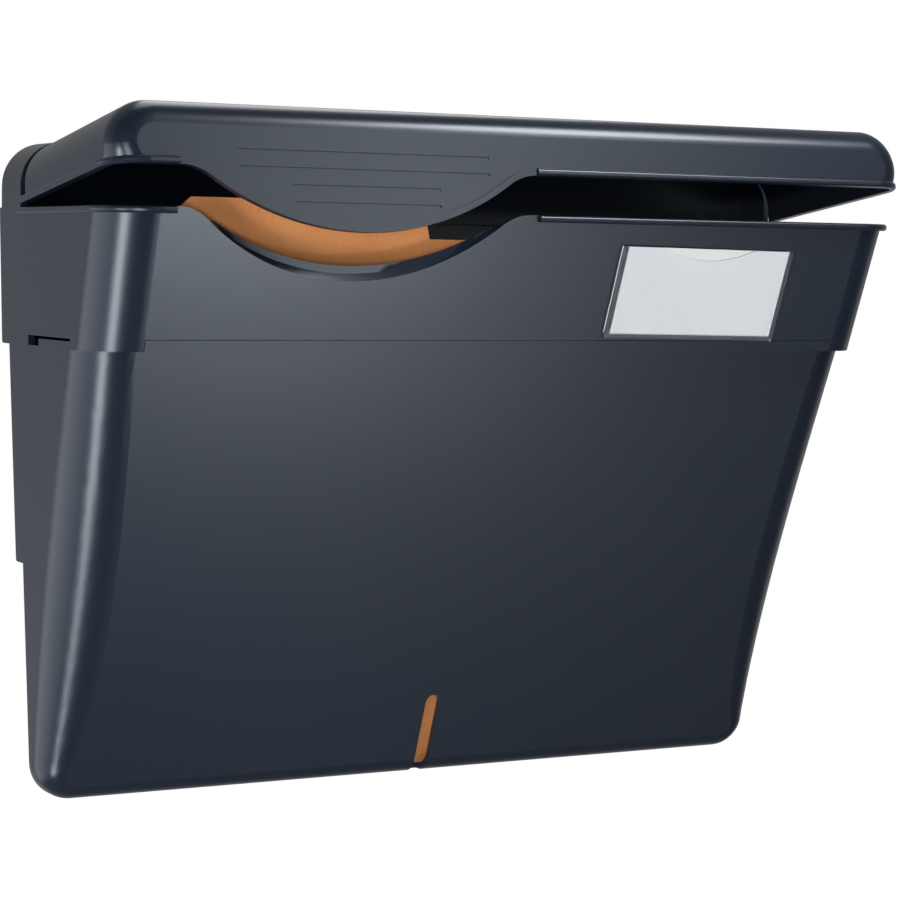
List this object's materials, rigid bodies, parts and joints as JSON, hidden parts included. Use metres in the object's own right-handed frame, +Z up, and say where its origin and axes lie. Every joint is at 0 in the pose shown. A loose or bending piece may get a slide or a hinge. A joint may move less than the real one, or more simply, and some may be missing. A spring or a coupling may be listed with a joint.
{
  "type": "wall file holder",
  "caption": "Wall-hung file pocket with a tapering front, a scooped rim, a hinged lid with a finger tongue, a clear label sleeve and one tabbed folder",
  "frame": {"origin": "on the wall plane, midway between the two wall screw holes, 25 mm below the pocket's rim", "axes": "+X to the viewer's right along the wall, +Y into the wall, +Z up; the front of the holder faces -Y"},
  "size_m": [0.3338, 0.1194, 0.256],
  "materials": {
    "shell": "fine satin, dark blue-grey",
    "clear_film": "clear, glossy",
    "adhesive": "matt, greyish white",
    "label_paper": "matt white paper",
    "folder_card": "matt tan card"
  },
  "bodies": {
    "holder": {"pocket": "shell", "label_sleeve": "clear_film", "label_adhesive": "adhesive", "file_folder": "folder_card"},
    "lid": {"lid": "shell"},
    "card": {"label_card": "label_paper"}
  },
  "joints": [
    {"name": "lid_hinge", "type": "hinge", "parent": "holder", "child": "lid", "pos_m": [0, -0.0266, 0.046], "axis": [-1, 0, 0], "range_deg": [-8.8, 88]},
    {"name": "card_slide", "type": "slide", "parent": "holder", "child": "card", "axis": [0.014, -0.3484, 0.9372], "range_m": [0, 0.006]}
  ]
}
